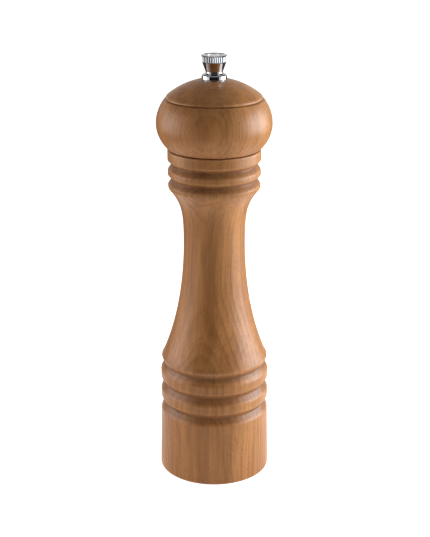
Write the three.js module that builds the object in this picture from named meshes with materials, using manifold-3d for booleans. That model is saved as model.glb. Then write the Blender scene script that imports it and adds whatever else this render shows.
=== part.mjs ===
// Pepper mill: a turned beech body and head around a steel grinding mechanism.
// Millimetres, +Z up, with the origin at the centre of the foot.

import * as THREE from "three";
import { mergeVertices } from "three/addons/utils/BufferGeometryUtils.js";
import Module from "manifold-3d";

const wasm = await Module();
wasm.setup();

// ---- Driving dimensions -----------------------------------------------------------------

// Clearances
const SEAM = 0.8; // shadow gap between the body and the head
const RUNNING_FIT = 0.2; // radial, where one piece turns or slides in another
const LOCATING_FIT = 0.3; // radial, where a fixed piece sits in a bore
const END_PLAY = 0.3; // axial, between pieces that move against each other
const COARSE_TRAVEL = 0.9; // how far the spindle sinks at the coarsest setting
const FINE_TRAVEL = 0.7; // how far it rises at the finest

// Body, outside
const BODY_HEIGHT = 188.8;
const BASE_RADIUS = 31.4;
const BASE_HEIGHT = 36.2; // the plain part below the rings
const BASE_TAPER = 0.7; // how much narrower the plain part is at its top
const FOOT_EDGE = 0.8; // rounding of the bottom edge
const LOWER_GROOVE_SLOPE = 4.2; // height of a lower groove's outward-facing lower wall
const LOWER_GROOVE_WALL = 3.3; // height of its upper wall
const LOWER_RING_PITCH = 12.0;
const LOWER_GROOVE_DEPTH = 2.4;
const LOWER_RINGS = 2; // whole rings between the plain base and the shoulder
const SHOULDER_RISE = 3.9; // from the last lower groove up to the shoulder's crest
const SHOULDER_INSET = 0.6; // how much narrower the shoulder is than the rings
const WAIST_RADIUS = 17.1;
const WAIST_BELOW_TOP = 51.8;
const COLLAR_RADIUS = 25.6;
const COLLAR_HEIGHT = 8.0;
const COLLAR_EDGE = 0.5;
const UPPER_RING_PITCH = 8.2;
const UPPER_GROOVE_DEPTH = 2.5;
const UPPER_GROOVE_SLOPE = 3.2;
const UPPER_GROOVE_WALL = 2.4;
const COLLAR_PROUD = 0.1; // how far the collar stands out past its ring and the head

// Waist: it leaves the lower shoulder on a slope, is upright at its narrowest, and opens again
// towards the upper shoulder. Slopes are radius per height; leads are shares of each stretch.
const WAIST_START_INSET = 0.58;
const WAIST_START_RISE = 1.3;
const WAIST_LOWER_SLOPE = 0.46;
const WAIST_LOWER_LEAD = 0.1;
const WAIST_MIDDLE_LEAD = 0.55;
const WAIST_UPPER_SLOPE = 0.8;
const WAIST_UPPER_LEAD = 0.275;
const WAIST_END_INSET = 0.85;
const WAIST_END_DROP = 2.7;
const UPPER_SHOULDER_INSET = 0.15;
const UPPER_SHOULDER_EASE = 0.9;

// Body, inside
const CHAMBER_RADIUS = 12.5; // peppercorn chamber
const HEAD_RECESS_RADIUS = 17.0; // socket for the head's spigot
const HEAD_RECESS_DEPTH = 14.0;
const FOOT_WALL = 5.1; // wood around the foot recess
const FOOT_GAP = 1.6; // from the table up to the screw heads

// Head
const HEAD_RADIUS = 31.6;
const HEAD_EQUATOR = 13.6; // height of the widest line over the head's lower face
const HEAD_GROOVE = 26.9; // height of the groove under the dome
const HEAD_APEX = 37.9; // height that the dome would reach without its flat
const HEAD_SEAT = 36.8; // height of the flat that carries the knob
const HEAD_LIP_INSET = 4.35; // from the widest line in to the groove's lower lip
const HEAD_GROOVE_DEPTH = 1.5;
const HEAD_LIP_DROP = 0.5; // from the groove down to its lower lip
const DOME_EDGE = 1.8; // height of the rounding of the dome's lower edge
const DOME_INSET = 0.8; // from the lower lip in to the dome
const DOME_FOOT_RISE = 1.0; // from the groove up to where the dome's sphere would meet the inset
const DOME_EDGE_BULGE = 0.3;
const DOME_EDGE_LEAD = 0.4;
const SPIGOT_CHAMFER = 0.6;

// Knob
const KNOB_HEIGHT = 13.0;
const KNOB_FLANGE_RADIUS = 6.8;
const KNOB_FLANGE_HEIGHT = 2.2;
const KNOB_FLANGE_CHAMFER = 0.3;
const KNOB_NECK_RADIUS = 4.5;
const KNOB_NECK_HEIGHT = 3.6;
const KNOB_RIM_RADIUS = 7.3;
const KNOB_RIM_HEIGHT = 3.4;
const KNOB_FLUTES = 40;
const KNOB_FLUTE_DEPTH = 0.35;
const KNOB_CORE_INSET = 0.45; // from the bottom of the flutes in to the top of the cone
const KNOB_DISH = 0.4; // how far the middle of the top lies below its ridge
const KNOB_RIDGE_SLOPE = 0.4; // width of the ridge's outer slope
const KNOB_RIDGE_FALL = 0.4; // width of its inner slope
const KNOB_BORE_DEPTH = 9.5;
const KNOB_WASHER_RADIUS = 6.4;
const KNOB_WASHER_THICKNESS = 0.6;

// Spindle
const SPINDLE_SIDE = 5.5;
const SPINDLE_CHAMFER = 0.4;
const PILOT_CHAMFER = 0.4;
const STUD_CHAMFER = 0.6;
const PILOT_RADIUS = 2.3; // round foot of the spindle
const PILOT_REACH = 0.8; // how far the pilot stands out below the bar
const PILOT_GROOVE_DEPTH = 0.4;
const PILOT_GROOVE_PLAY = 0.1; // between the clip and its groove
const STUD_RADIUS = 2.45;
const STUD_BELOW_SEAT = 21.4;
const STUD_IN_KNOB = 8.0;

// Screws, as shares of the head's radius, the head's height and the length
const SCREW_FACE = 0.7;
const SCREW_EDGE = 0.5;
const SCREW_TIP = 0.8;
const SCREW_CROSS = 1.1;

// Drive plate and its screws
const DRIVE_PLATE_RADIUS = 12.0;
const DRIVE_PLATE_THICKNESS = 1.5;
const DRIVE_SCREWS = 3;
const DRIVE_SCREW_CIRCLE = 8.6;
const DRIVE_SCREW = { headRadius: 1.9, headHeight: 1.2, shankRadius: 1.1, length: 7.5, slot: 0.5 };

// Grinder housing
const HOUSING_WALL = 1.2;
const HOUSING_HEIGHT = 25.0; // over the flange
const FLANGE_WIDTH = 6.6; // from the housing's wall out to the flange's rim
const FLANGE_THICKNESS = 1.2;
const SPIDER_ARMS = 3;
const SPIDER_ARM_WIDTH = 5.0;
const SPIDER_THICKNESS = 1.4;
const SPIDER_HUB_WALL = 2.2;

// Spindle bush
const BUSH_WALL = 0.9;
const BUSH_SLEEVE = 2.2;
const BUSH_COLLAR_RADIUS = 6.2;
const BUSH_COLLAR_THICKNESS = 0.9;

// Stator and rotor
const STATOR_WALL = 3.3; // at its lower end
const STATOR_HEIGHT = 15.2;
const STATOR_CLOSING = 0.288; // how much its bore closes upwards, as a share of the rotor's taper
const STATOR_TEETH = 24;
const STATOR_TOOTH_DEPTH = 0.9;
const STATOR_TOOTH_WIDTH = 0.9;
const STATOR_CHAMFER = 1.2;
const GRIND_GAP = 0.6; // radial, between the rotor's and the stator's lower edges
const ROTOR_HEIGHT = 13.2;
const ROTOR_BAND = 2.6; // height of the fine band at the rotor's lower end
const ROTOR_CONE_HEIGHT = 11.2;
const ROTOR_SHOULDER_RADIUS = 8.2; // top of the cone
const ROTOR_HUB_RADIUS = 6.4;
const ROTOR_HUB_RISE = 0.6; // from the cone's top up to the hub's side
const ROTOR_FINE_TEETH = 24;
const ROTOR_FINE_DEPTH = 0.7;
const ROTOR_FINE_WIDTH = 0.8;
const ROTOR_FLUTES = 7;
const ROTOR_FLUTE_WIDTH = 3.4;
const TOOTH_LEAN = 25; // degrees from the mill's axis
const ROTOR_WASHER_RADIUS = 5.2;
const ROTOR_WASHER_THICKNESS = 0.7;
const CLIP_RADIUS = 4.0;
const CLIP_THICKNESS = 0.8;
const CLIP_OPENING = 2.6;

// Spring and its seat
const SEAT_WASHER_RADIUS = 7.0;
const SEAT_WASHER_THICKNESS = 1.0;
const SPRING_WIRE_RADIUS = 0.5;
const SPRING_RADIUS = 5.4; // to the middle of the wire
const SPRING_TURNS = 3.5;

// Retaining bar and its screws
const BAR_WIDTH = 9.0;
const BAR_THICKNESS = 1.6;
const BAR_END_GAP = 0.9; // from the bar's ends to the recess
const BAR_SCREW = { headRadius: 2.9, headHeight: 1.6, shankRadius: 1.4, length: 13.0, slot: 0.7 };

// How finely round things are divided
const WIDE = 32; // sides of a large turned piece
const SMALL = 20; // sides of a small one
const SPRING_STEPS = 14; // steps along one turn of the spring
const OVERRUN = 1.0; // how far a cutter runs past a face, or one part of a solid into another

// ---- Heights of the stack, from the foot up ---------------------------------------------

const barBottom = FOOT_GAP + BAR_SCREW.headHeight;
const flangeBottom = barBottom + BAR_THICKNESS;
const flangeTop = flangeBottom + FLANGE_THICKNESS; // ceiling of the foot recess
const clipBottom = flangeBottom + COARSE_TRAVEL + 2 * END_PLAY;
const rotorWasherBottom = clipBottom + CLIP_THICKNESS;
const rotorBottom = rotorWasherBottom + ROTOR_WASHER_THICKNESS;
const rotorTop = rotorBottom + ROTOR_HEIGHT;
const housingTop = flangeTop + HOUSING_HEIGHT;
const bushBottom = housingTop - BUSH_SLEEVE;
const seatWasherBottom = bushBottom - RUNNING_FIT - SEAT_WASHER_THICKNESS;
const mechanismBoreTop = housingTop + BUSH_COLLAR_THICKNESS + LOCATING_FIT;
const recessFloor = BODY_HEIGHT - HEAD_RECESS_DEPTH;
const drivePlateBottom = recessFloor + END_PLAY + DRIVE_SCREW.headHeight;
const spigotBottom = drivePlateBottom + DRIVE_PLATE_THICKNESS;
const headBottom = BODY_HEIGHT + SEAM;
const headSeat = headBottom + HEAD_SEAT;
const knobBottom = headSeat + KNOB_WASHER_THICKNESS;
const spindleFoot = barBottom - PILOT_REACH;
const squareBottom = rotorBottom + SPINDLE_CHAMFER / 2;
const squareTop = headSeat - STUD_BELOW_SEAT;
const studTop = knobBottom + STUD_IN_KNOB;

// Radii that follow from the pieces they hold
const footRecessRadius = BASE_RADIUS - FOOT_WALL;
const flangeRadius = footRecessRadius - LOCATING_FIT;
const housingRadius = flangeRadius - FLANGE_WIDTH;
const mechanismBoreRadius = housingRadius + LOCATING_FIT;
const barScrewCircle = (mechanismBoreRadius + footRecessRadius) / 2;
const housingBore = housingRadius - HOUSING_WALL;
const statorRadius = housingBore - RUNNING_FIT;
const statorBore = statorRadius - STATOR_WALL;
const rotorRadius = statorBore - GRIND_GAP;
const halfSide = SPINDLE_SIDE / 2;
const spindleCorner = Math.hypot(halfSide, halfSide - SPINDLE_CHAMFER);
const bushBore = spindleCorner + RUNNING_FIT;
const spiderBore = bushBore + BUSH_WALL + RUNNING_FIT;
const squareHoleSide = SPINDLE_SIDE + 2 * RUNNING_FIT;
const headBore = spindleCorner + LOCATING_FIT;
const spigotRadius = HEAD_RECESS_RADIUS - 2 * RUNNING_FIT;
const barHalfLength = footRecessRadius - BAR_END_GAP;
const barScrewPilot = BAR_SCREW.shankRadius + LOCATING_FIT;
const driveScrewPilot = DRIVE_SCREW.shankRadius + RUNNING_FIT;

// ---- Materials --------------------------------------------------------------------------

const beech = () => new THREE.MeshStandardMaterial({ color: 0xb8855a, roughness: 0.6, metalness: 0 });
const chrome = () => new THREE.MeshStandardMaterial({ color: 0xd6d8da, roughness: 0.12, metalness: 1 });
const steel = () => new THREE.MeshStandardMaterial({ color: 0xa3a6a8, roughness: 0.35, metalness: 1 });
const burrSteel = () => new THREE.MeshStandardMaterial({ color: 0x6f7072, roughness: 0.45, metalness: 1 });
const nylon = () => new THREE.MeshStandardMaterial({ color: 0xe6e3da, roughness: 0.5, metalness: 0 });

// ---- Shape helpers ----------------------------------------------------------------------

const radians = THREE.MathUtils.degToRad;

/** Six times the signed volume of an indexed mesh: negative when its faces point inwards. */
function signedVolume(position, index) {
  const a = new THREE.Vector3();
  const b = new THREE.Vector3();
  const c = new THREE.Vector3();
  let sum = 0;
  for (let i = 0; i < index.length; i += 3) {
    a.fromBufferAttribute(position, index[i]);
    b.fromBufferAttribute(position, index[i + 1]);
    c.fromBufferAttribute(position, index[i + 2]);
    sum += a.dot(b.cross(c));
  }
  return sum;
}

/** The same surface with shared corners, no collapsed triangles, and faces that point out. */
function closed(geometry) {
  const bare = geometry.clone();
  bare.deleteAttribute("normal");
  bare.deleteAttribute("uv");
  const merged = mergeVertices(bare, 1e-4);
  const position = merged.getAttribute("position");
  const corners = merged.getIndex().array;
  const index = [];
  for (let i = 0; i < corners.length; i += 3) {
    const [a, b, c] = corners.slice(i, i + 3);
    if (a !== b && b !== c && c !== a) index.push(a, b, c);
  }
  merged.setIndex(signedVolume(position, index) < 0 ? index.reverse() : index);
  return merged;
}

/** A solid that can be joined and cut. */
function solid(geometry) {
  const shell = closed(geometry);
  const vertProperties = new Float32Array(shell.getAttribute("position").array);
  const triVerts = new Uint32Array(shell.getIndex().array);
  return new wasm.Manifold(new wasm.Mesh({ numProp: 3, vertProperties, triVerts }));
}

/** The finished surface of a solid. */
function surface(body) {
  const mesh = body.getMesh();
  const geometry = new THREE.BufferGeometry();
  geometry.setAttribute("position", new THREE.BufferAttribute(new Float32Array(mesh.vertProperties), 3));
  geometry.setIndex(new THREE.BufferAttribute(new Uint32Array(mesh.triVerts), 1));
  return geometry;
}

/** A profile of [radius, height] points turned about Z. */
function turned(profile, sides) {
  const points = profile.map(([radius, height]) => new THREE.Vector2(radius, height));
  return new THREE.LatheGeometry(points, sides).rotateX(Math.PI / 2);
}

/** A turned ring: its profile closes on itself. */
const turnedRing = (profile, sides) => turned([...profile, profile[0]], sides);

/** A plain washer or tube from height 0 up. */
const tube = (inner, outer, height, sides) =>
  turnedRing([[inner, 0], [outer, 0], [outer, height], [inner, height]], sides);

/** A solid rod from one height to another. */
const rod = (radius, low, high, sides) =>
  turned([[0, low], [radius, low], [radius, high], [0, high]], sides);

/** An outline extruded straight up from height 0. */
const extruded = (shape, height) =>
  new THREE.ExtrudeGeometry(shape, { depth: height, bevelEnabled: false, curveSegments: 10 });

/** A square outline with chamfered corners. */
function chamferedSquare(side, chamfer) {
  const edge = side / 2;
  const flat = edge - chamfer;
  const corners = [];
  for (let quarter = 0; quarter < 4; quarter += 1) {
    const turn = (quarter * Math.PI) / 2;
    corners.push(new THREE.Vector2(edge, -flat).rotateAround(new THREE.Vector2(), turn));
    corners.push(new THREE.Vector2(edge, flat).rotateAround(new THREE.Vector2(), turn));
  }
  return new THREE.Shape(corners);
}

/** The square hole that the spindle slides through, as a cutter that runs past both faces. */
const squareHole = (height) =>
  solid(
    extruded(chamferedSquare(squareHoleSide, SPINDLE_CHAMFER), height + 2 * OVERRUN)
      .translate(0, 0, -OVERRUN),
  );

/** Copies of a cutter, evenly round Z, taken out of a body. */
function cutAround(body, cutter, count) {
  let result = body;
  for (let i = 0; i < count; i += 1) {
    result = result.subtract(solid(cutter.clone().rotateZ((i * 2 * Math.PI) / count)));
  }
  return result;
}

/** Points on a quarter of an ellipse or part of one, between two angles in degrees. */
function arc(centre, radii, from, to, steps) {
  const points = [];
  for (let i = 0; i <= steps; i += 1) {
    const angle = radians(from + ((to - from) * i) / steps);
    points.push([centre[0] + radii[0] * Math.cos(angle), centre[1] + radii[1] * Math.sin(angle)]);
  }
  return points;
}

/** Points on a Bézier curve through [radius, height] points, without the first one. */
function curve(points, steps) {
  const vectors = points.map(([radius, height]) => new THREE.Vector2(radius, height));
  const path = vectors.length === 4
    ? new THREE.CubicBezierCurve(...vectors)
    : new THREE.QuadraticBezierCurve(...vectors);
  return path.getPoints(steps).slice(1).map(({ x, y }) => [x, y]);
}

/** A plain ring between two V-shaped grooves, without the lower groove: its face, then the upper groove. */
const ring = (low, high, radius, wall, slope) =>
  [[radius, low[1] + wall], [radius, high[1] - slope], high];

// ---- Body -------------------------------------------------------------------------------

function bodyOutline() {
  const baseTopRadius = BASE_RADIUS - BASE_TAPER;
  const lowerGrooveRadius = baseTopRadius - LOWER_GROOVE_DEPTH;
  const upperGrooveRadius = COLLAR_RADIUS - UPPER_GROOVE_DEPTH;

  const points = arc([BASE_RADIUS - FOOT_EDGE, FOOT_EDGE], [FOOT_EDGE, FOOT_EDGE], -90, 0, 2);
  points.push([baseTopRadius, BASE_HEIGHT]);

  let groove = [lowerGrooveRadius, BASE_HEIGHT + LOWER_GROOVE_SLOPE];
  points.push(groove);
  for (let i = 0; i < LOWER_RINGS; i += 1) {
    const next = [lowerGrooveRadius, groove[1] + LOWER_RING_PITCH];
    points.push(...ring(groove, next, baseTopRadius, LOWER_GROOVE_WALL, LOWER_GROOVE_SLOPE));
    groove = next;
  }
  const shoulder = [baseTopRadius - SHOULDER_INSET, groove[1] + SHOULDER_RISE];
  points.push([shoulder[0], groove[1] + LOWER_GROOVE_WALL], shoulder);

  const start = [shoulder[0] - WAIST_START_INSET, shoulder[1] + WAIST_START_RISE];
  const narrow = [WAIST_RADIUS, BODY_HEIGHT - WAIST_BELOW_TOP];
  const topGrooves = BODY_HEIGHT - COLLAR_HEIGHT;
  const upperShoulder = [
    COLLAR_RADIUS - UPPER_SHOULDER_INSET,
    topGrooves - UPPER_RING_PITCH - UPPER_GROOVE_SLOPE,
  ];
  const end = [upperShoulder[0] - WAIST_END_INSET, upperShoulder[1] - WAIST_END_DROP];
  const lowerSpan = narrow[1] - start[1];
  const upperSpan = end[1] - narrow[1];
  const lowerLead = WAIST_LOWER_LEAD * lowerSpan;
  const upperLead = WAIST_UPPER_LEAD * upperSpan;
  points.push(start);
  points.push(...curve([
    start,
    [start[0] - WAIST_LOWER_SLOPE * lowerLead, start[1] + lowerLead],
    [WAIST_RADIUS, narrow[1] - WAIST_MIDDLE_LEAD * lowerSpan],
    narrow,
  ], 9));
  points.push(...curve([
    narrow,
    [WAIST_RADIUS, narrow[1] + WAIST_MIDDLE_LEAD * upperSpan],
    [end[0] - WAIST_UPPER_SLOPE * upperLead, end[1] - upperLead],
    end,
  ], 8));
  const easing = [upperShoulder[0], end[1] + UPPER_SHOULDER_EASE];
  points.push(...curve([end, easing, upperShoulder], 2));

  groove = [upperGrooveRadius, topGrooves - UPPER_RING_PITCH];
  const last = [upperGrooveRadius, topGrooves];
  points.push(groove);
  points.push(...ring(groove, last, COLLAR_RADIUS - COLLAR_PROUD, UPPER_GROOVE_WALL, UPPER_GROOVE_SLOPE));
  points.push([COLLAR_RADIUS, topGrooves + UPPER_GROOVE_WALL]);
  points.push([COLLAR_RADIUS, BODY_HEIGHT - COLLAR_EDGE]);
  points.push([COLLAR_RADIUS - COLLAR_EDGE, BODY_HEIGHT]);
  return points;
}

function millBody() {
  const bore = [
    [HEAD_RECESS_RADIUS, BODY_HEIGHT],
    [HEAD_RECESS_RADIUS, recessFloor],
    [CHAMBER_RADIUS, recessFloor],
    [CHAMBER_RADIUS, mechanismBoreTop],
    [mechanismBoreRadius, mechanismBoreTop],
    [mechanismBoreRadius, flangeTop],
    [footRecessRadius, flangeTop],
    [footRecessRadius, 0],
  ];
  const blank = solid(turnedRing([...bodyOutline(), ...bore], WIDE));
  const pilotTop = barBottom + BAR_SCREW.length + END_PLAY;
  const pilot = rod(barScrewPilot, flangeTop - OVERRUN, pilotTop, SMALL)
    .translate(barScrewCircle, 0, 0);
  return surface(cutAround(blank, pilot, 2));
}

// ---- Head -------------------------------------------------------------------------------

/** Heights are over the head's lower face. */
function headOutline() {
  const lowerRadius = COLLAR_RADIUS - COLLAR_PROUD;
  const lowerAngle = Math.acos(lowerRadius / HEAD_RADIUS);
  const lowerHeight = HEAD_EQUATOR / Math.sin(lowerAngle);
  const lipRadius = HEAD_RADIUS - HEAD_LIP_INSET;
  const lipAngle = Math.acos(lipRadius / HEAD_RADIUS);
  const lip = HEAD_GROOVE - HEAD_LIP_DROP;
  const upperHeight = (lip - HEAD_EQUATOR) / Math.sin(lipAngle);
  const toDegrees = THREE.MathUtils.radToDeg;

  const middle = [0, HEAD_EQUATOR];
  const points = arc(middle, [HEAD_RADIUS, lowerHeight], -toDegrees(lowerAngle), 0, 7);
  points.push(...arc(middle, [HEAD_RADIUS, upperHeight], 0, toDegrees(lipAngle), 7).slice(1));

  // The dome is part of a sphere, set in from the lip by the groove.
  const grooveRadius = lipRadius - HEAD_GROOVE_DEPTH;
  const domeRadius = lipRadius - DOME_INSET;
  const domeFoot = HEAD_GROOVE + DOME_FOOT_RISE;
  const rise = HEAD_APEX - domeFoot;
  const sphere = (domeRadius ** 2 + rise ** 2) / (2 * rise);
  const angleAt = (height) => toDegrees(Math.asin((height - HEAD_APEX + sphere) / sphere));
  const edge = arc([0, HEAD_APEX - sphere], [sphere, sphere], angleAt(HEAD_GROOVE + DOME_EDGE),
    angleAt(HEAD_SEAT), 8);
  const groove = [grooveRadius, HEAD_GROOVE];
  const easing = [domeRadius + DOME_EDGE_BULGE, HEAD_GROOVE + DOME_EDGE_LEAD];
  points.push(groove);
  points.push(...curve([groove, easing, edge[0]], 3));
  points.push(...edge.slice(1));
  return points;
}

function millHead() {
  const spigotLength = headBottom - spigotBottom;
  const inside = [
    [headBore, HEAD_SEAT],
    [headBore, -spigotLength],
    [spigotRadius - SPIGOT_CHAMFER, -spigotLength],
    [spigotRadius, SPIGOT_CHAMFER - spigotLength],
    [spigotRadius, 0],
  ];
  const blank = solid(turnedRing([...headOutline(), ...inside], WIDE));
  const pilotTop = DRIVE_SCREW.length + END_PLAY - DRIVE_PLATE_THICKNESS - spigotLength;
  const pilot = rod(driveScrewPilot, -spigotLength - OVERRUN, pilotTop, SMALL)
    .translate(DRIVE_SCREW_CIRCLE, 0, 0);
  return surface(cutAround(blank, pilot, DRIVE_SCREWS));
}

// ---- Knob -------------------------------------------------------------------------------

function adjustingKnob() {
  const boreRadius = STUD_RADIUS + RUNNING_FIT;
  const rimBottom = KNOB_HEIGHT - KNOB_RIM_HEIGHT - KNOB_DISH;
  const coreRadius = KNOB_RIM_RADIUS - KNOB_FLUTE_DEPTH - KNOB_CORE_INSET;
  const ridgeRadius = coreRadius - KNOB_RIDGE_SLOPE;
  const core = solid(turned([
    [0, KNOB_BORE_DEPTH],
    [boreRadius, KNOB_BORE_DEPTH],
    [boreRadius, 0],
    [KNOB_FLANGE_RADIUS - KNOB_FLANGE_CHAMFER, 0],
    [KNOB_FLANGE_RADIUS, KNOB_FLANGE_CHAMFER],
    [KNOB_FLANGE_RADIUS, KNOB_FLANGE_HEIGHT - KNOB_FLANGE_CHAMFER],
    [KNOB_FLANGE_RADIUS - KNOB_FLANGE_CHAMFER, KNOB_FLANGE_HEIGHT],
    [KNOB_NECK_RADIUS, KNOB_NECK_HEIGHT],
    [coreRadius, rimBottom],
    [coreRadius, KNOB_HEIGHT - KNOB_DISH],
    [ridgeRadius, KNOB_HEIGHT],
    [ridgeRadius - KNOB_RIDGE_FALL, KNOB_HEIGHT - KNOB_DISH],
    [0, KNOB_HEIGHT - KNOB_DISH],
  ], SMALL));

  const outline = [];
  for (let i = 0; i < 2 * KNOB_FLUTES; i += 1) {
    const radius = KNOB_RIM_RADIUS - (i % 2) * KNOB_FLUTE_DEPTH;
    const angle = (i * Math.PI) / KNOB_FLUTES;
    outline.push(new THREE.Vector2(radius * Math.cos(angle), radius * Math.sin(angle)));
  }
  const rimShape = new THREE.Shape(outline);
  rimShape.holes.push(new THREE.Path().absarc(0, 0, coreRadius - OVERRUN, 0, 2 * Math.PI, true));
  const rim = solid(extruded(rimShape, KNOB_RIM_HEIGHT).translate(0, 0, rimBottom));
  return surface(core.add(rim));
}

// ---- Spindle ----------------------------------------------------------------------------

/** Heights are over the foot of the mill. */
function spindle() {
  const grooveRadius = PILOT_RADIUS - PILOT_GROOVE_DEPTH;
  const pilot = solid(turned([
    [0, spindleFoot],
    [PILOT_RADIUS - PILOT_CHAMFER, spindleFoot],
    [PILOT_RADIUS, spindleFoot + PILOT_CHAMFER],
    [PILOT_RADIUS, clipBottom - PILOT_GROOVE_PLAY],
    [grooveRadius, clipBottom - PILOT_GROOVE_PLAY],
    [grooveRadius, rotorWasherBottom + PILOT_GROOVE_PLAY],
    [PILOT_RADIUS, rotorWasherBottom + PILOT_GROOVE_PLAY],
    [PILOT_RADIUS, squareBottom + OVERRUN],
    [0, squareBottom + OVERRUN],
  ], SMALL));
  const section = chamferedSquare(SPINDLE_SIDE, SPINDLE_CHAMFER);
  const square = solid(extruded(section, squareTop - squareBottom).translate(0, 0, squareBottom));
  const stud = solid(turned([
    [0, squareTop - OVERRUN],
    [STUD_RADIUS, squareTop - OVERRUN],
    [STUD_RADIUS, studTop - STUD_CHAMFER],
    [STUD_RADIUS - STUD_CHAMFER, studTop],
    [0, studTop],
  ], SMALL));
  return surface(pilot.add(square).add(stud));
}

// ---- Screws, plates and washers ---------------------------------------------------------

/** A cross-head screw that points up, with the underside of its head at height 0. */
function screw({ headRadius, headHeight, shankRadius, length, slot }) {
  const body = solid(turned([
    [0, -headHeight],
    [headRadius * SCREW_FACE, -headHeight],
    [headRadius, -headHeight * SCREW_EDGE],
    [headRadius, 0],
    [shankRadius, 0],
    [shankRadius, length * SCREW_TIP],
    [0, length],
  ], SMALL));
  const cross = new THREE.BoxGeometry(headRadius * SCREW_CROSS, slot, headHeight)
    .translate(0, 0, -headHeight);
  return surface(cutAround(body, cross, 4));
}

function drivePlate() {
  const disc = solid(rod(DRIVE_PLATE_RADIUS, 0, DRIVE_PLATE_THICKNESS, WIDE));
  const hole = rod(driveScrewPilot, -OVERRUN, DRIVE_PLATE_THICKNESS + OVERRUN, SMALL)
    .translate(DRIVE_SCREW_CIRCLE, 0, 0);
  return surface(cutAround(disc, hole, DRIVE_SCREWS).subtract(squareHole(DRIVE_PLATE_THICKNESS)));
}

function seatWasher() {
  const disc = solid(rod(SEAT_WASHER_RADIUS, 0, SEAT_WASHER_THICKNESS, SMALL));
  return surface(disc.subtract(squareHole(SEAT_WASHER_THICKNESS)));
}

function retainingBar() {
  const endRadius = BAR_WIDTH / 2;
  const reach = barHalfLength - endRadius;
  const outline = new THREE.Shape();
  outline.absarc(reach, 0, endRadius, -Math.PI / 2, Math.PI / 2, false);
  outline.absarc(-reach, 0, endRadius, Math.PI / 2, (3 * Math.PI) / 2, false);
  const holes = [
    [0, PILOT_RADIUS + RUNNING_FIT],
    [-barScrewCircle, barScrewPilot],
    [barScrewCircle, barScrewPilot],
  ];
  for (const [x, radius] of holes) {
    outline.holes.push(new THREE.Path().absarc(x, 0, radius, 0, 2 * Math.PI, true));
  }
  return extruded(outline, BAR_THICKNESS);
}

/** A C-shaped clip that opens towards +Y. */
function rotorClip() {
  const inner = PILOT_RADIUS - PILOT_GROOVE_DEPTH + PILOT_GROOVE_PLAY;
  const ring = solid(tube(inner, CLIP_RADIUS, CLIP_THICKNESS, SMALL));
  const reach = CLIP_RADIUS + OVERRUN;
  const mouth = new THREE.BoxGeometry(CLIP_OPENING, reach, CLIP_THICKNESS + 2 * OVERRUN)
    .translate(0, reach / 2, CLIP_THICKNESS / 2);
  return surface(ring.subtract(solid(mouth)));
}

// ---- Grinder ----------------------------------------------------------------------------

/** Heights are over the underside of the flange. */
function grinderHousing() {
  const top = FLANGE_THICKNESS + HOUSING_HEIGHT;
  const spiderBottom = top - SPIDER_THICKNESS;
  let cup = solid(turnedRing([
    [housingBore, 0],
    [flangeRadius, 0],
    [flangeRadius, FLANGE_THICKNESS],
    [housingRadius, FLANGE_THICKNESS],
    [housingRadius, top],
    [housingBore, top],
  ], WIDE));
  const armLength = (housingBore + housingRadius) / 2 - spiderBore - SPIDER_HUB_WALL / 2;
  const armMiddle = spiderBore + SPIDER_HUB_WALL / 2 + armLength / 2;
  const arm = new THREE.BoxGeometry(armLength, SPIDER_ARM_WIDTH, SPIDER_THICKNESS)
    .translate(armMiddle, 0, top - SPIDER_THICKNESS / 2);
  for (let i = 0; i < SPIDER_ARMS; i += 1) {
    cup = cup.add(solid(arm.clone().rotateZ((i * 2 * Math.PI) / SPIDER_ARMS)));
  }
  const hub = tube(spiderBore, spiderBore + SPIDER_HUB_WALL, SPIDER_THICKNESS, WIDE);
  cup = cup.add(solid(hub.translate(0, 0, spiderBottom)));
  const screwHole = rod(barScrewPilot, -OVERRUN, FLANGE_THICKNESS + OVERRUN, SMALL)
    .translate(barScrewCircle, 0, 0);
  return surface(cutAround(cup, screwHole, 2));
}

function spindleBush() {
  const sleeve = bushBore + BUSH_WALL;
  return turnedRing([
    [bushBore, 0],
    [sleeve, 0],
    [sleeve, BUSH_SLEEVE],
    [BUSH_COLLAR_RADIUS, BUSH_SLEEVE],
    [BUSH_COLLAR_RADIUS, BUSH_SLEEVE + BUSH_COLLAR_THICKNESS],
    [bushBore, BUSH_SLEEVE + BUSH_COLLAR_THICKNESS],
  ], SMALL);
}

/** A leaning V-shaped cutter whose sharp edge lies along a cone, for one tooth space. */
function toothCutter(width, depth, lowRadius, highRadius, low, high, outwards, lean) {
  const side = outwards ? 1 : -1;
  const shape = new THREE.Shape([
    new THREE.Vector2(depth * side, 0),
    new THREE.Vector2(-depth * side, width),
    new THREE.Vector2(-depth * side, -width),
  ]);
  const height = high - low;
  const margin = 2 * OVERRUN;
  const cone = Math.atan2(highRadius - lowRadius, height);
  return extruded(shape, height / Math.cos(radians(lean)) + 2 * margin)
    .translate(0, 0, -height / 2 - margin)
    .rotateX(radians(lean))
    .rotateY(cone)
    .translate((lowRadius + highRadius) / 2, 0, (low + high) / 2);
}

/** Heights are over the ring's lower face. */
function statorRing() {
  const topBore = statorBore - STATOR_CLOSING * (rotorRadius - ROTOR_SHOULDER_RADIUS);
  const straight = rotorBottom - flangeBottom + ROTOR_BAND + FINE_TRAVEL;
  const ring = solid(turnedRing([
    [statorBore, straight],
    [statorBore, 0],
    [statorRadius, 0],
    [statorRadius, STATOR_HEIGHT],
    [topBore + STATOR_CHAMFER, STATOR_HEIGHT],
    [topBore, STATOR_HEIGHT - STATOR_CHAMFER],
  ], WIDE));
  const cutter = toothCutter(STATOR_TOOTH_WIDTH, STATOR_TOOTH_DEPTH, statorBore, topBore,
    0, STATOR_HEIGHT, true, TOOTH_LEAN / 2);
  return surface(cutAround(ring, cutter, STATOR_TEETH));
}

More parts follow.
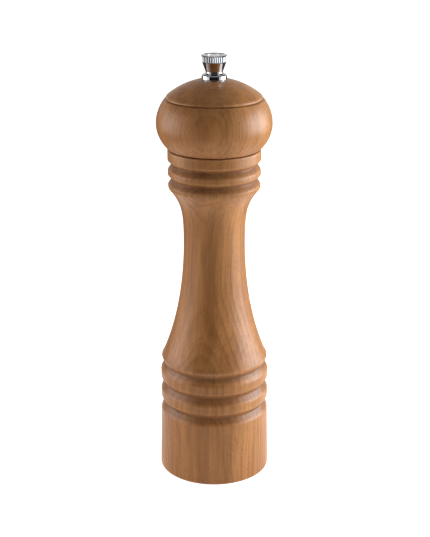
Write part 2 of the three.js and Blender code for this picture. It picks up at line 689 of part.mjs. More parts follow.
/** Heights are over the rotor's lower face. */
function rotorBurr() {
  let cone = solid(turned([
    [0, 0],
    [rotorRadius, 0],
    [rotorRadius, ROTOR_BAND],
    [ROTOR_SHOULDER_RADIUS, ROTOR_CONE_HEIGHT],
    [ROTOR_HUB_RADIUS, ROTOR_CONE_HEIGHT + ROTOR_HUB_RISE],
    [ROTOR_HUB_RADIUS, ROTOR_HEIGHT],
    [0, ROTOR_HEIGHT],
  ], WIDE));
  const fine = toothCutter(ROTOR_FINE_WIDTH, ROTOR_FINE_DEPTH, rotorRadius, rotorRadius,
    0, ROTOR_BAND, false, -TOOTH_LEAN);
  cone = cutAround(cone, fine, ROTOR_FINE_TEETH);
  const flute = toothCutter(ROTOR_FLUTE_WIDTH / 2, ROTOR_FLUTE_WIDTH / 2,
    rotorRadius, ROTOR_SHOULDER_RADIUS,
    ROTOR_BAND + OVERRUN, ROTOR_CONE_HEIGHT + OVERRUN, false, -TOOTH_LEAN);
  cone = cutAround(cone, flute, ROTOR_FLUTES);
  return surface(cone.subtract(squareHole(ROTOR_HEIGHT)));
}

/** The line through the middle of the spring's wire. */
class Coil extends THREE.Curve {
  constructor(radius, turns, height) {
    super();
    Object.assign(this, { radius, turns, height });
  }

  getPoint(t, target = new THREE.Vector3()) {
    const angle = 2 * Math.PI * this.turns * t;
    return target.set(this.radius * Math.cos(angle), this.radius * Math.sin(angle), this.height * t);
  }
}

/** Heights are over the middle of the wire at the spring's lower end. */
function grindSpring() {
  const free = seatWasherBottom - rotorTop - 2 * END_PLAY - 2 * SPRING_WIRE_RADIUS;
  const path = new Coil(SPRING_RADIUS, SPRING_TURNS, free);
  const wire = new THREE.Shape();
  wire.absarc(0, 0, SPRING_WIRE_RADIUS, 0, 2 * Math.PI, false);
  const steps = Math.round(SPRING_TURNS * SPRING_STEPS);
  const settings = { extrudePath: path, steps, curveSegments: 3, bevelEnabled: false };
  return new THREE.ExtrudeGeometry(wire, settings);
}

// ---- Assembly ---------------------------------------------------------------------------

/** A named piece whose own height 0 stands at the given height. */
function piece(name, geometry, material, height = 0) {
  const shell = closed(geometry);
  shell.computeVertexNormals();
  const mesh = new THREE.Mesh(shell, material);
  mesh.name = name;
  mesh.position.z = height;
  return mesh;
}

/** Like pieces on a circle, each named and turned in its place. */
function screws(name, size, count, circle, height) {
  return Array.from({ length: count }, (_, i) => {
    const angle = (i * 2 * Math.PI) / count;
    const mesh = piece(`${name}_${i + 1}`, screw(size), steel(), height);
    mesh.position.x = circle * Math.cos(angle);
    mesh.position.y = circle * Math.sin(angle);
    return mesh;
  });
}

const fixed = new THREE.Group();
fixed.add(
  piece("mill_body", millBody(), beech()),
  piece("grinder_housing", grinderHousing(), steel(), flangeBottom),
  piece("spindle_bush", spindleBush(), nylon(), bushBottom),
  piece("stator_ring", statorRing(), burrSteel(), flangeBottom),
  piece("retaining_bar", retainingBar(), steel(), barBottom),
  ...screws("bar_screw", BAR_SCREW, 2, barScrewCircle, barBottom),
);

const rotorWasher = tube(
  PILOT_RADIUS + RUNNING_FIT,
  ROTOR_WASHER_RADIUS,
  ROTOR_WASHER_THICKNESS,
  SMALL,
);
const turning = new THREE.Group();
turning.add(
  piece("spring_seat_washer", seatWasher(), steel(), seatWasherBottom),
  piece("grind_spring", grindSpring(), steel(), rotorTop + END_PLAY + SPRING_WIRE_RADIUS),
  piece("rotor_burr", rotorBurr(), burrSteel(), rotorBottom),
  piece("rotor_washer", rotorWasher, steel(), rotorWasherBottom),
  piece("rotor_clip", rotorClip(), steel(), clipBottom),
  piece("spindle", spindle(), steel()),
);

const plateHeight = drivePlateBottom - headBottom;
const headGroup = new THREE.Group();
headGroup.position.z = headBottom;
headGroup.add(
  piece("mill_head", millHead(), beech()),
  piece("drive_plate", drivePlate(), steel(), plateHeight),
  ...screws("drive_plate_screw", DRIVE_SCREW, DRIVE_SCREWS, DRIVE_SCREW_CIRCLE, plateHeight),
);

const knobWasher = tube(
  STUD_RADIUS + 2 * RUNNING_FIT,
  KNOB_WASHER_RADIUS,
  KNOB_WASHER_THICKNESS,
  SMALL,
);
const knobGroup = new THREE.Group();
knobGroup.position.z = HEAD_SEAT;
knobGroup.add(
  piece("knob_washer", knobWasher, steel()),
  piece("adjusting_knob", adjustingKnob(), chrome(), KNOB_WASHER_THICKNESS),
);
headGroup.add(knobGroup);

const group = new THREE.Group();
group.add(fixed, turning, headGroup);

export default group;
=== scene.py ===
"""Pepper mill: turned beech body and head, chrome knob and steel grinder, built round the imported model."""

import math

import bmesh
import bpy
from bpy.props import FloatProperty, FloatVectorProperty, IntProperty, PointerProperty
from mathutils import Matrix, Vector
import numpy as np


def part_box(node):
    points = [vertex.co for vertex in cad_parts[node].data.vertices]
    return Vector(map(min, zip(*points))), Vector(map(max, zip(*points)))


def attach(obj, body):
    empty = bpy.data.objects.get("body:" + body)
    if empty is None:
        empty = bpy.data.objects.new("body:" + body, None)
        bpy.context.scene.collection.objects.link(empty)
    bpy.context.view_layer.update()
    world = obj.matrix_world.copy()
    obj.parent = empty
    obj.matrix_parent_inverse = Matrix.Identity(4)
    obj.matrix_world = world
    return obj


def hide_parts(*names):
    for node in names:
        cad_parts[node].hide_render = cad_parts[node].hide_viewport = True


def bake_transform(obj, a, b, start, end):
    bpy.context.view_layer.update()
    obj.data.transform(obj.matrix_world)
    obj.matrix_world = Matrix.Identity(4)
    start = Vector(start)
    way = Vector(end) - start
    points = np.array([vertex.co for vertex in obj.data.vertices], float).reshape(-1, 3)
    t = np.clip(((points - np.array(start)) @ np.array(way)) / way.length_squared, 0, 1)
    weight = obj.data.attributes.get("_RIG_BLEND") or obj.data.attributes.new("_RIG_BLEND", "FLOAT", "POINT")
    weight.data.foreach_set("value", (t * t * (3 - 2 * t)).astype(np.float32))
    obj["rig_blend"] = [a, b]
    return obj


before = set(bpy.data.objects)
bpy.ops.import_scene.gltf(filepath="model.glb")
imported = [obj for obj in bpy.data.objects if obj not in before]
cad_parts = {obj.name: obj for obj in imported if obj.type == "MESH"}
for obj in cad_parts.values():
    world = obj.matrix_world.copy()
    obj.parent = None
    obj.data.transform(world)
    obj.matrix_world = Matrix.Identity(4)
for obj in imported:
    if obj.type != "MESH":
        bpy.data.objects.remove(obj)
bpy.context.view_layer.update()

bl_info = {
    "name": "Pepper mill",
    "version": (1, 0, 0),
    "blender": (4, 5, 0),
    "location": "3D View > Sidebar > Pepper mill",
    "description": "Models and finishes a turned beech pepper mill and its grinder",
    "category": "Object",
}

MM = 0.001

BODY_SIDES = 168  # flats round the body and the head
FLUTE_SIDES = 8  # flats across each of the knob's flutes
COIL_STEPS = 48  # steps along one turn of the spring
LOWER_RINGS = 2

# A groove's wall gets painted shade, darker with its depth in millimetres, once it is deep enough, up to a
# limit.
SHADE_PER_MM = 1.2
SHADE_START = 0.35
SHADE_LIMIT = 0.75
FLUTE_SHADE = 1.15  # a higher number keeps the painted shade nearer to the bottom of a flute
ARC_POINT = 0.12  # width of the arc's narrow end, as a share of its wide end

FLOOR_HALF = 3.5  # half the floor's side, in metres
NEAR_FLOOR, FAR_FLOOR = 220.0, 330.0  # reflections of the floor fade between these, in millimetres


# ---- Settings -----------------------------------------------------------------------------


def length(name, description, millimetres):
    """A size that a user can change, given in millimetres and kept in metres."""
    return FloatProperty(name=name, description=description, default=millimetres * MM,
                         subtype="DISTANCE", unit="LENGTH", precision=5)


def colour(name, description, red, green, blue):
    """A linear colour that a user can change."""
    return FloatVectorProperty(name=name, description=description, default=(red, green, blue),
                               size=3, min=0.0, max=1.0, subtype="COLOR")


def factor(name, description, default):
    """A plain number that a user can change."""
    return FloatProperty(name=name, description=description, default=default)


class MillBodySizes(bpy.types.PropertyGroup):
    """The turned body's outline. Its height, foot and bores come from the frame."""

    base_height: length("Base height", "Plain part below the rings", 36.2)
    base_taper: length("Base taper", "How much narrower the plain part is at its top", 0.7)
    foot_edge: length("Foot edge", "Rounding of the bottom edge", 0.8)
    groove_slope: length("Lower groove slope", "Height of a lower groove's lower wall", 4.2)
    groove_wall: length("Lower groove wall", "Height of a lower groove's upper wall", 3.3)
    ring_pitch: length("Lower ring pitch", "From one lower groove to the next", 12.0)
    groove_depth: length("Lower groove depth", "Depth of the lower grooves", 2.4)
    shoulder_rise: length("Shoulder rise", "From a groove to the shoulder's crest", 3.9)
    shoulder_inset: length("Shoulder inset", "How much narrower the shoulder is than the rings", 0.6)
    waist_radius: length("Waist radius", "Radius at the narrowest line", 17.1)
    waist_below_top: length("Waist below top", "From the body's top down to the narrowest line", 51.8)
    collar_radius: length("Collar radius", "Radius of the collar under the head", 25.6)
    collar_height: length("Collar height", "From the last groove up to the body's top", 8.0)
    upper_pitch: length("Upper ring pitch", "From one upper groove to the next", 8.2)
    upper_depth: length("Upper groove depth", "Depth of the upper grooves", 2.5)
    upper_slope: length("Upper groove slope", "Height of an upper groove's lower wall", 3.2)
    upper_wall: length("Upper groove wall", "Height of an upper groove's upper wall", 2.4)
    edge: length("Edge rounding", "Rounding of the collar's top edge", 0.5)
    corner: length("Ring corner", "Rounding of the rings' corners", 0.45)
    chamber_radius: length("Chamber radius", "Bore that holds the peppercorns", 12.5)
    recess_radius: length("Recess radius", "Socket for the head's spigot", 17.0)
    recess_depth: length("Recess depth", "Depth of the socket for the head's spigot", 14.0)
    mechanism_radius: length("Mechanism bore radius", "Bore that holds the grinder", 19.7)
    mechanism_top: length("Mechanism bore top", "Height of the grinder bore's ceiling", 32.2)
    foot_recess_radius: length("Foot recess radius", "Recess that holds the flange", 26.3)
    foot_recess_depth: length("Foot recess depth", "Depth of the recess in the foot", 6.0)


class MillHeadSizes(bpy.types.PropertyGroup):
    """The turned head's outline. Heights are over its lower face."""

    equator: length("Equator", "Height of the widest line", 13.6)
    groove: length("Groove height", "Height of the groove under the dome", 26.9)
    apex: length("Apex", "Height that the dome would reach without its flat", 37.9)
    lip_inset: length("Lip inset", "From the widest line in to the groove's lower lip", 4.35)
    groove_depth: length("Groove depth", "Depth of the groove under the dome", 1.5)
    dome_edge: length("Dome edge", "Height of the rounding of the dome's lower edge", 1.8)
    lower_radius: length("Lower radius", "Radius of the face that meets the body", 25.5)
    spigot_radius: length("Spigot radius", "Radius of the spigot in the body", 16.6)
    spigot_length: length("Spigot length", "Length of the spigot", 11.8)
    bore_radius: length("Bore radius", "Hole for the spindle", 3.92)


class MillKnobSizes(bpy.types.PropertyGroup):
    """The adjusting knob. Heights are over its lower face."""

    flange_radius: length("Flange radius", "Radius of the flange at the foot", 6.8)
    neck_radius: length("Neck radius", "Radius where the cone meets the flange", 4.5)
    neck_height: length("Neck height", "Height where the cone meets the flange", 3.6)
    rim_radius: length("Rim radius", "Radius over the fluted rim", 7.3)
    rim_height: length("Rim height", "Height of the fluted rim", 3.4)
    crown: length("Crown", "From the knob's top down to where the rim's height is measured from", 0.4)
    cone_inset: length("Cone inset", "From the rim in to the cone's upper end", 0.8)
    flute_depth: length("Flute depth", "Depth of the grooves in the rim", 0.40)
    flute_reach: length("Flute reach", "How far in from the rim the grooves reach", 0.42)
    bore_radius: length("Bore radius", "Threaded hole for the stud", 2.65)
    bore_depth: length("Bore depth", "Depth of the threaded hole", 9.5)
    flutes: IntProperty(name="Flutes", description="Number of grooves round the rim", default=40)


class MillSpringSizes(bpy.types.PropertyGroup):
    """Sizes of the grinder's spring."""

    wire_radius: length("Wire radius", "Half the wire's thickness", 0.5)
    coil_radius: length("Coil radius", "From the axis to the middle of the wire", 5.4)
    turns: factor("Turns", "How many times the wire goes round", 3.5)


class MillColours(bpy.types.PropertyGroup):
    """Colours of the finishes and of the floor."""

    beech_light: colour("Beech, light", "Pale early wood", 0.66, 0.285, 0.090)
    beech_dark: colour("Beech, dark", "Darker late wood", 0.32, 0.118, 0.031)
    fleck: colour("Ray fleck", "Short dark rays in the beech", 0.15, 0.055, 0.020)
    chrome: colour("Chrome", "Plated knob", 0.62, 0.62, 0.64)
    steel: colour("Steel", "Zinc-plated steel", 0.52, 0.53, 0.54)
    burr: colour("Burr steel", "Hardened sintered steel", 0.20, 0.20, 0.205)
    nylon: colour("Nylon", "Spindle bush", 0.78, 0.76, 0.70)
    floor: colour("Floor", "Pale studio floor", 0.88, 0.88, 0.88)


# ---- Outlines -----------------------------------------------------------------------------


def arc(centre, radii, start, end, steps):
    """Points on part of an ellipse, from one angle in degrees to another."""
    points = []
    for i in range(steps + 1):
        angle = math.radians(start + (end - start) * i / steps)
        points.append((centre[0] + radii[0] * math.cos(angle), centre[1] + radii[1] * math.sin(angle)))
    return points


def bezier(points, steps):
    """Points on a quadratic or cubic Bezier curve, without its first point."""
    curve = []
    degree = len(points) - 1
    for i in range(1, steps + 1):
        t = i / steps
        weights = [math.comb(degree, k) * t**k * (1 - t) ** (degree - k) for k in range(degree + 1)]
        curve.append(tuple(sum(w * p[axis] for w, p in zip(weights, points)) for axis in (0, 1)))
    return curve


def ring(low, high, radius, wall, slope):
    """A plain ring between two V-shaped grooves, without the lower groove."""
    return [(radius, low[1] + wall), (radius, high[1] - slope), high]


def eased(outline, radius, steps=4):
    """The outline with each corner that turns by more than 20 degrees rounded off."""
    result = [outline[0]]
    for before, corner, after in zip(outline, outline[1:], outline[2:]):
        a, b, c = Vector(before), Vector(corner), Vector(after)
        into, out = b - a, c - b
        if into.length < 1e-7 or out.length < 1e-7 or into.angle(out) < math.radians(20):
            result.append(corner)
            continue
        reach = min(radius, into.length * 0.45, out.length * 0.45)
        start = b - into.normalized() * reach
        end = b + out.normalized() * reach
        result.append(tuple(start))
        result += bezier([tuple(start), corner, tuple(end)], steps)
    return result + [outline[-1]]


def divided(outline, longest):
    """The outline with its long straight stretches cut into equal parts."""
    result = [outline[0]]
    for before, after in zip(outline, outline[1:]):
        parts = max(1, math.ceil(math.dist(before, after) / longest))
        result += [tuple(Vector(before).lerp(Vector(after), i / parts)) for i in range(1, parts + 1)]
    return result


# ---- Mesh helpers -------------------------------------------------------------------------


def wear_and_shade_along(outline, reach=0.9 * MM, groove=8.0 * MM):
    """How proud (+1) or sunken (-1) the outline is at each of its points.

    Sharp corners count where they are, and the walls of a groove count with their depth. The material paints
    proud places pale as rubbed wear and sunken ones dark as painted shade.
    """
    turns = [0.0] * len(outline)
    for i in range(1, len(outline) - 1):
        ax, ay = outline[i][0] - outline[i - 1][0], outline[i][1] - outline[i - 1][1]
        bx, by = outline[i + 1][0] - outline[i][0], outline[i + 1][1] - outline[i][1]
        turns[i] = math.atan2(ax * by - ay * bx, ax * bx + ay * by)
    wear_and_shade = []
    for point in outline:
        total = 0.0
        below = above = point[0]
        for other, turn in zip(outline, turns):
            near = 1 - math.dist(point, other) / reach
            total += turn * max(near, 0.0)
            if -groove < other[1] - point[1] < 0:
                below = max(below, other[0])
            elif 0 < other[1] - point[1] < groove:
                above = max(above, other[0])
        depth = min(below, above) - point[0]
        total -= min(SHADE_LIMIT, max(0.0, SHADE_PER_MM * depth / MM - SHADE_START))
        wear_and_shade.append(max(-1.0, min(1.0, total)))
    return wear_and_shade


def finish_mesh(bm, name, material, smooth_angle=32):
    """Closes off a bmesh: clean, outward, smooth but for its sharp edges, and linked to the scene."""
    bmesh.ops.remove_doubles(bm, verts=bm.verts, dist=1e-7)
    bmesh.ops.dissolve_degenerate(bm, edges=bm.edges, dist=1e-8)
    bmesh.ops.recalc_face_normals(bm, faces=bm.faces)
    for face in bm.faces:
        face.smooth = True
    for edge in bm.edges:
        edge.smooth = len(edge.link_faces) == 2 and edge.calc_face_angle() < math.radians(smooth_angle)
    mesh = bpy.data.meshes.new(name)
    bm.to_mesh(mesh)
    bm.free()
    mesh.materials.append(material)
    piece = bpy.data.objects.new(name, mesh)
    bpy.context.scene.collection.objects.link(piece)
    return piece


def spin_outline(bm, outside, inside=(), sides=BODY_SIDES, closed=True):
    """Turns an outline about Z. Its inside part is marked raw, and how proud it stands is kept for rubbed
    wear and painted shade.
    """
    wear_and_shade_layer = bm.verts.layers.float.new("wear_and_shade")
    raw_layer = bm.verts.layers.float.new("raw")
    outline = list(outside) + list(inside)
    verts = []
    for i, ((radius, height), wear_and_shade) in enumerate(zip(outline, wear_and_shade_along(outline))):
        vert = bm.verts.new((radius, 0, height))
        vert[wear_and_shade_layer] = wear_and_shade
        vert[raw_layer] = 1.0 if i >= len(outside) else 0.0
        verts.append(vert)
    pairs = list(zip(verts, verts[1:]))
    if closed:
        pairs.append((verts[-1], verts[0]))
    edges = [bm.edges.new(pair) for pair in pairs]
    bmesh.ops.spin(bm, geom=verts + edges, cent=(0, 0, 0), axis=(0, 0, 1), dvec=(0, 0, 0),
                   angle=math.tau, steps=sides, use_merge=True, use_duplicate=False)


# ---- Materials ----------------------------------------------------------------------------


class Tree:
    """Adds nodes to a material or world and joins them."""

    def __init__(self, owner):
        owner.use_nodes = True
        self.nodes = owner.node_tree.nodes
        self.links = owner.node_tree.links
        self.nodes.clear()

    def add(self, kind, inputs=None, **settings):
        node = self.nodes.new(kind)
        for name, value in settings.items():
            setattr(node, name, value)
        for name, value in (inputs or {}).items():
            self.feed(node.inputs[name], value)
        return node

    def feed(self, socket, value):
        if isinstance(value, bpy.types.NodeSocket):
            self.links.new(value, socket)
        elif value is not None:
            socket.default_value = value

    def math(self, operation, a, b=None, clamp=False):
        return self.add("ShaderNodeMath", {0: a, 1: b}, operation=operation, use_clamp=clamp).outputs[0]

    def vector(self, operation, a, b=None):
        node = self.add("ShaderNodeVectorMath", {0: a, 1: b}, operation=operation)
        return node.outputs["Value" if operation == "LENGTH" else "Vector"]

    def split(self, vector):
        return self.add("ShaderNodeSeparateXYZ", {0: vector}).outputs

    def join(self, x, y, z):
        return self.add("ShaderNodeCombineXYZ", {0: x, 1: y, 2: z}).outputs[0]

    def scaled(self, vector, factors, offset=(0, 0, 0)):
        inputs = {"Vector": vector, "Scale": factors, "Location": offset}
        return self.add("ShaderNodeMapping", inputs).outputs[0]

    def noise(self, vector, scale=1.0, detail=3.0, roughness=0.5):
        inputs = {"Vector": vector, "Scale": scale, "Detail": detail, "Roughness": roughness}
        return self.add("ShaderNodeTexNoise", inputs).outputs["Fac"]

    def spread(self, value, low, high, to_low=0.0, to_high=1.0, smooth=False):
        """The value moved from one range to another, and held inside it."""
        kind = "SMOOTHSTEP" if smooth else "LINEAR"
        inputs = {"Value": value, "From Min": low, "From Max": high, "To Min": to_low, "To Max": to_high}
        return self.add("ShaderNodeMapRange", inputs, interpolation_type=kind, clamp=True).outputs["Result"]

    def mix(self, amount, a, b, blend="MIX"):
        node = self.add("ShaderNodeMix", data_type="RGBA", blend_type=blend)
        colours = [socket for socket in node.inputs if socket.type == "RGBA"]
        self.feed(node.inputs["Factor"], amount)
        for socket, value in zip(colours, (a, b)):
            self.feed(socket, (*value, 1.0) if isinstance(value, tuple) else value)
        return next(socket for socket in node.outputs if socket.type == "RGBA")

    def bump(self, height, distance, normal=None):
        inputs = {"Height": height, "Distance": distance, "Strength": 1.0, "Normal": normal}
        return self.add("ShaderNodeBump", inputs).outputs["Normal"]

    def surface(self, **inputs):
        shader = self.add("ShaderNodeBsdfPrincipled", inputs)
        self.add("ShaderNodeOutputMaterial", {"Surface": shader.outputs[0]})

    def place(self):
        """The piece's own coordinates, in millimetres."""
        coordinates = self.add("ShaderNodeTexCoord").outputs["Object"]
        return self.scaled(coordinates, (1000, 1000, 1000))

    def attribute(self, name):
        node = self.add("ShaderNodeAttribute", attribute_name=name, attribute_type="GEOMETRY")
        return node.outputs["Fac"]


def rgb(value):
    """A colour setting as a plain tuple."""
    return tuple(value[:3])


def darker(tint, share):
    """A colour setting as a plain tuple, with each channel cut to a share."""
    return tuple(channel * share for channel in tint)


def beech(name, pith, lean, ring_pitch, ring_depth, seed):
    """Oiled beech, cut from a log whose pith stands at a point in millimetres and leans by degrees.

    Growth rings run round the pith, rays stand across them, and fine streaks run along the grain.
    """
    palette = bpy.context.scene.mill_colours
    material = bpy.data.materials.new(name)
    tree = Tree(material)
    place = tree.place()
    turned = tree.add("ShaderNodeMapping", {
        "Vector": place,
        "Location": (-pith[0], -pith[1], seed),
        "Rotation": (math.radians(lean[0]), math.radians(lean[1]), 0),
    }, vector_type="POINT").outputs[0]

    # The rings wander slowly along and round the log.
    wander = tree.add("ShaderNodeTexNoise", {
        "Vector": tree.scaled(turned, (1 / 46, 1 / 46, 1 / 120)), "Scale": 1.0, "Detail": 2.0,
    }).outputs["Color"]
    shift = tree.vector("MULTIPLY", tree.vector("SUBTRACT", wander, (0.5, 0.5, 0.5)), (16, 16, 0))
    log = tree.vector("ADD", turned, shift)
    x, y, z = tree.split(log)[:3]
    radius = tree.vector("LENGTH", tree.join(x, y, 0.0))
    angle = tree.math("ARCTAN2", y, x)

    # Growth rings: pale early wood that darkens to a thin late line, with uneven widths.
    uneven = tree.noise(tree.join(tree.math("MULTIPLY", radius, 0.11), seed, 0.0), detail=1.0)
    count = tree.math("ADD", tree.math("DIVIDE", radius, ring_pitch), tree.math("MULTIPLY", uneven, 3.0))
    within = tree.math("FRACT", count)
    late = tree.math("MULTIPLY", tree.spread(within, 0.25, 0.93, smooth=True),
                     tree.spread(within, 0.93, 1.0, 1.0, 0.0))
    clear = tree.noise(tree.scaled(log, (1 / 30, 1 / 30, 1 / 70), (seed, 0, 0)))
    strength = tree.spread(clear, 0.35, 0.7, 0.25, 1.0)
    rings = tree.math("MULTIPLY", late, strength)

    # Streaks along the grain, at three widths.
    broad = tree.noise(tree.scaled(log, (1 / 7.0, 1 / 7.0, 1 / 110), (0, seed, 0)), detail=2.0)
    fibres = tree.scaled(log, (1 / 1.5, 1 / 1.5, 1 / 34), (0, 0, seed))
    streak = tree.noise(fibres, detail=4.0, roughness=0.6)
    pores = tree.noise(tree.scaled(log, (1 / 0.34, 1 / 0.34, 1 / 5.5)), detail=3.0, roughness=0.65)

    # Rays: short dark dashes where they are cut across, broader marks where they lie in the face.
    around = tree.math("MULTIPLY", angle, 44.0)
    ray_place = tree.join(tree.math("MULTIPLY", radius, 1 / 1.2), tree.math("MULTIPLY", around, 1 / 0.6),
                          tree.math("MULTIPLY", z, 1 / 3.0))
    cells = tree.add("ShaderNodeTexVoronoi", {"Vector": ray_place, "Scale": 1.0, "Randomness": 1.0})
    chance = tree.add("ShaderNodeSeparateColor", {0: cells.outputs["Color"]}).outputs[0]
    dash = tree.spread(cells.outputs["Distance"], 0.18, 0.36, 1.0, 0.0, smooth=True)
    rays = tree.math("MULTIPLY", dash, tree.spread(chance, 0.2, 1.0))

    tone = tree.math("MULTIPLY", tree.spread(broad, 0.33, 0.67), 0.42)
    tone = tree.math("ADD", tone, tree.math("MULTIPLY", tree.spread(streak, 0.30, 0.70), 0.42))
    tone = tree.math("ADD", tone, tree.math("MULTIPLY", tree.spread(pores, 0.25, 0.75), 0.20))
    tone = tree.math("SUBTRACT", tone, tree.math("MULTIPLY", rings, ring_depth))
    tone = tree.math("ADD", tone, 0.10, clamp=True)
    wood = tree.mix(tone, rgb(palette.beech_dark), rgb(palette.beech_light))

    # A pinkish cast in some stretches, and the rays on top.
    blush = tree.noise(tree.scaled(log, (1 / 15, 1 / 15, 1 / 60), (3, seed, 8)))
    cast = tree.spread(blush, 0.45, 0.7, 0.0, 0.5)
    wood = tree.mix(cast, wood, tree.mix(1.0, wood, (1.0, 0.92, 0.95), blend="MULTIPLY"))
    wood = tree.mix(tree.math("MULTIPLY", rays, 0.5), wood, rgb(palette.fleck))

    # Crests are rubbed pale, grooves get painted shade that darkens with their depth, and bores are left
    # unoiled.
    wear_and_shade = tree.attribute("wear_and_shade")
    raw = tree.attribute("raw")
    wood = tree.mix(tree.spread(wear_and_shade, 0.15, 1.0, 0.0, 0.18), wood, (0.74, 0.50, 0.30))
    wood = tree.mix(tree.spread(wear_and_shade, -1.0, -0.05, 0.52, 0.0), wood, (0.10, 0.037, 0.013))
    wood = tree.mix(tree.math("MULTIPLY", raw, 0.35), wood, (0.70, 0.52, 0.34))

    roughness = tree.spread(streak, 0.3, 0.7, 0.42, 0.32)
    roughness = tree.math("ADD", roughness, tree.math("MULTIPLY", rays, 0.06))
    roughness = tree.math("ADD", roughness, tree.math("MULTIPLY", raw, 0.25), clamp=True)
    grain = tree.math("SUBTRACT", tree.math("MULTIPLY", pores, 0.7), tree.math("MULTIPLY", rays, 0.5))
    lathe = tree.noise(tree.scaled(place, (1 / 60, 1 / 60, 1 / 0.55)), detail=2.0)
    normal = tree.bump(grain, 0.05 * MM)
    normal = tree.bump(lathe, 0.012 * MM, normal)
    tree.surface(**{"Base Color": wood, "Roughness": roughness, "Normal": normal, "IOR": 1.45,
                    "Specular IOR Level": 0.4})
    return material


def plated(name, tint, rough, brush=0.0):
    """Plated or brushed metal: faint stains, scratches and a fine grain, with painted shade in the bottoms
    of any flutes.
    """
    material = bpy.data.materials.new(name)
    tree = Tree(material)
    place = tree.place()
    stain = tree.noise(place, scale=0.45, detail=4.0)
    smear = tree.noise(tree.scaled(place, (0.8, 0.8, 2.6)), detail=5.0, roughness=0.62)
    scratch = tree.noise(tree.scaled(place, (9.0, 1.2, 3.0)), detail=2.0, roughness=0.7)
    shade = tree.mix(tree.spread(stain, 0.35, 0.75, 0.0, 0.22 + brush * 0.3), rgb(tint),
                     darker(tint, 0.72))
    # Painted shade: the bottoms of the flutes are darkened almost to black.
    flute_shade = tree.spread(tree.attribute("wear_and_shade"), -0.9, -0.1, 0.96, 0.0)
    shade = tree.mix(flute_shade, shade, (0.02, 0.02, 0.022))
    roughness = tree.math("ADD", tree.spread(smear, 0.3, 0.75, rough * 0.75, rough * 1.5),
                          tree.spread(scratch, 0.62, 0.72, 0.0, 0.05 + brush * 0.1), clamp=True)
    relief = tree.math("ADD", scratch, tree.math("MULTIPLY", smear, 0.5))
    normal = tree.bump(relief, (0.0004 + brush * 0.02) * MM)
    tree.surface(**{"Base Color": shade, "Metallic": 1.0, "Roughness": roughness, "Normal": normal})
    return material


def sintered(name, tint):
    """Dark hardened steel with a granular skin and a little pepper dust in its hollows."""
    material = bpy.data.materials.new(name)
    tree = Tree(material)
    place = tree.place()
    grit = tree.noise(place, scale=5.5, detail=4.0, roughness=0.7)
    patch = tree.noise(place, scale=0.35, detail=3.0)
    dust = tree.math("MULTIPLY", tree.spread(patch, 0.5, 0.72), tree.spread(grit, 0.45, 0.6))
    shade = tree.mix(tree.spread(grit, 0.3, 0.7), darker(tint, 0.7), rgb(tint))
    shade = tree.mix(tree.math("MULTIPLY", dust, 0.5), shade, (0.16, 0.12, 0.08))
    metallic = tree.spread(dust, 0.0, 0.6, 1.0, 0.35)
    roughness = tree.spread(grit, 0.3, 0.7, 0.36, 0.58)
    tree.surface(**{"Base Color": shade, "Metallic": metallic, "Roughness": roughness,
                    "Normal": tree.bump(grit, 0.03 * MM)})
    return material


def moulded(name, tint):
    """Off-white moulded nylon."""
    material = bpy.data.materials.new(name)
    tree = Tree(material)
    place = tree.place()
    cloud = tree.noise(place, scale=0.3, detail=3.0)
    skin = tree.noise(place, scale=7.0, detail=2.0)
    shade = tree.mix(tree.spread(cloud, 0.35, 0.7, 0.0, 0.5), rgb(tint), darker(tint, 0.86))
    tree.surface(**{"Base Color": shade, "Roughness": tree.spread(skin, 0.3, 0.7, 0.40, 0.52),
                    "Normal": tree.bump(skin, 0.01 * MM)})
    return material


MAKERS = {
    "body_beech": lambda palette: beech("body_beech", pith=(-17.0, -60.0), lean=(0.6, -1.6),
                                        ring_pitch=2.7, ring_depth=0.30, seed=11.0),
    "head_beech": lambda palette: beech("head_beech", pith=(-7.0, -52.0), lean=(-2.5, 1.2),
                                        ring_pitch=1.9, ring_depth=0.40, seed=37.0),
    "knob_chrome": lambda palette: plated("knob_chrome", palette.chrome, 0.07),
    "zinc_steel": lambda palette: plated("zinc_steel", palette.steel, 0.30, brush=1.0),
    "burr_steel": lambda palette: sintered("burr_steel", palette.burr),
    "bush_nylon": lambda palette: moulded("bush_nylon", palette.nylon),
}


def finish(name):
    """The named finish, made the first time that a piece asks for it."""
    return bpy.data.materials.get(name) or MAKERS[name](bpy.context.scene.mill_colours)


# ---- Body and head ------------------------------------------------------------------------


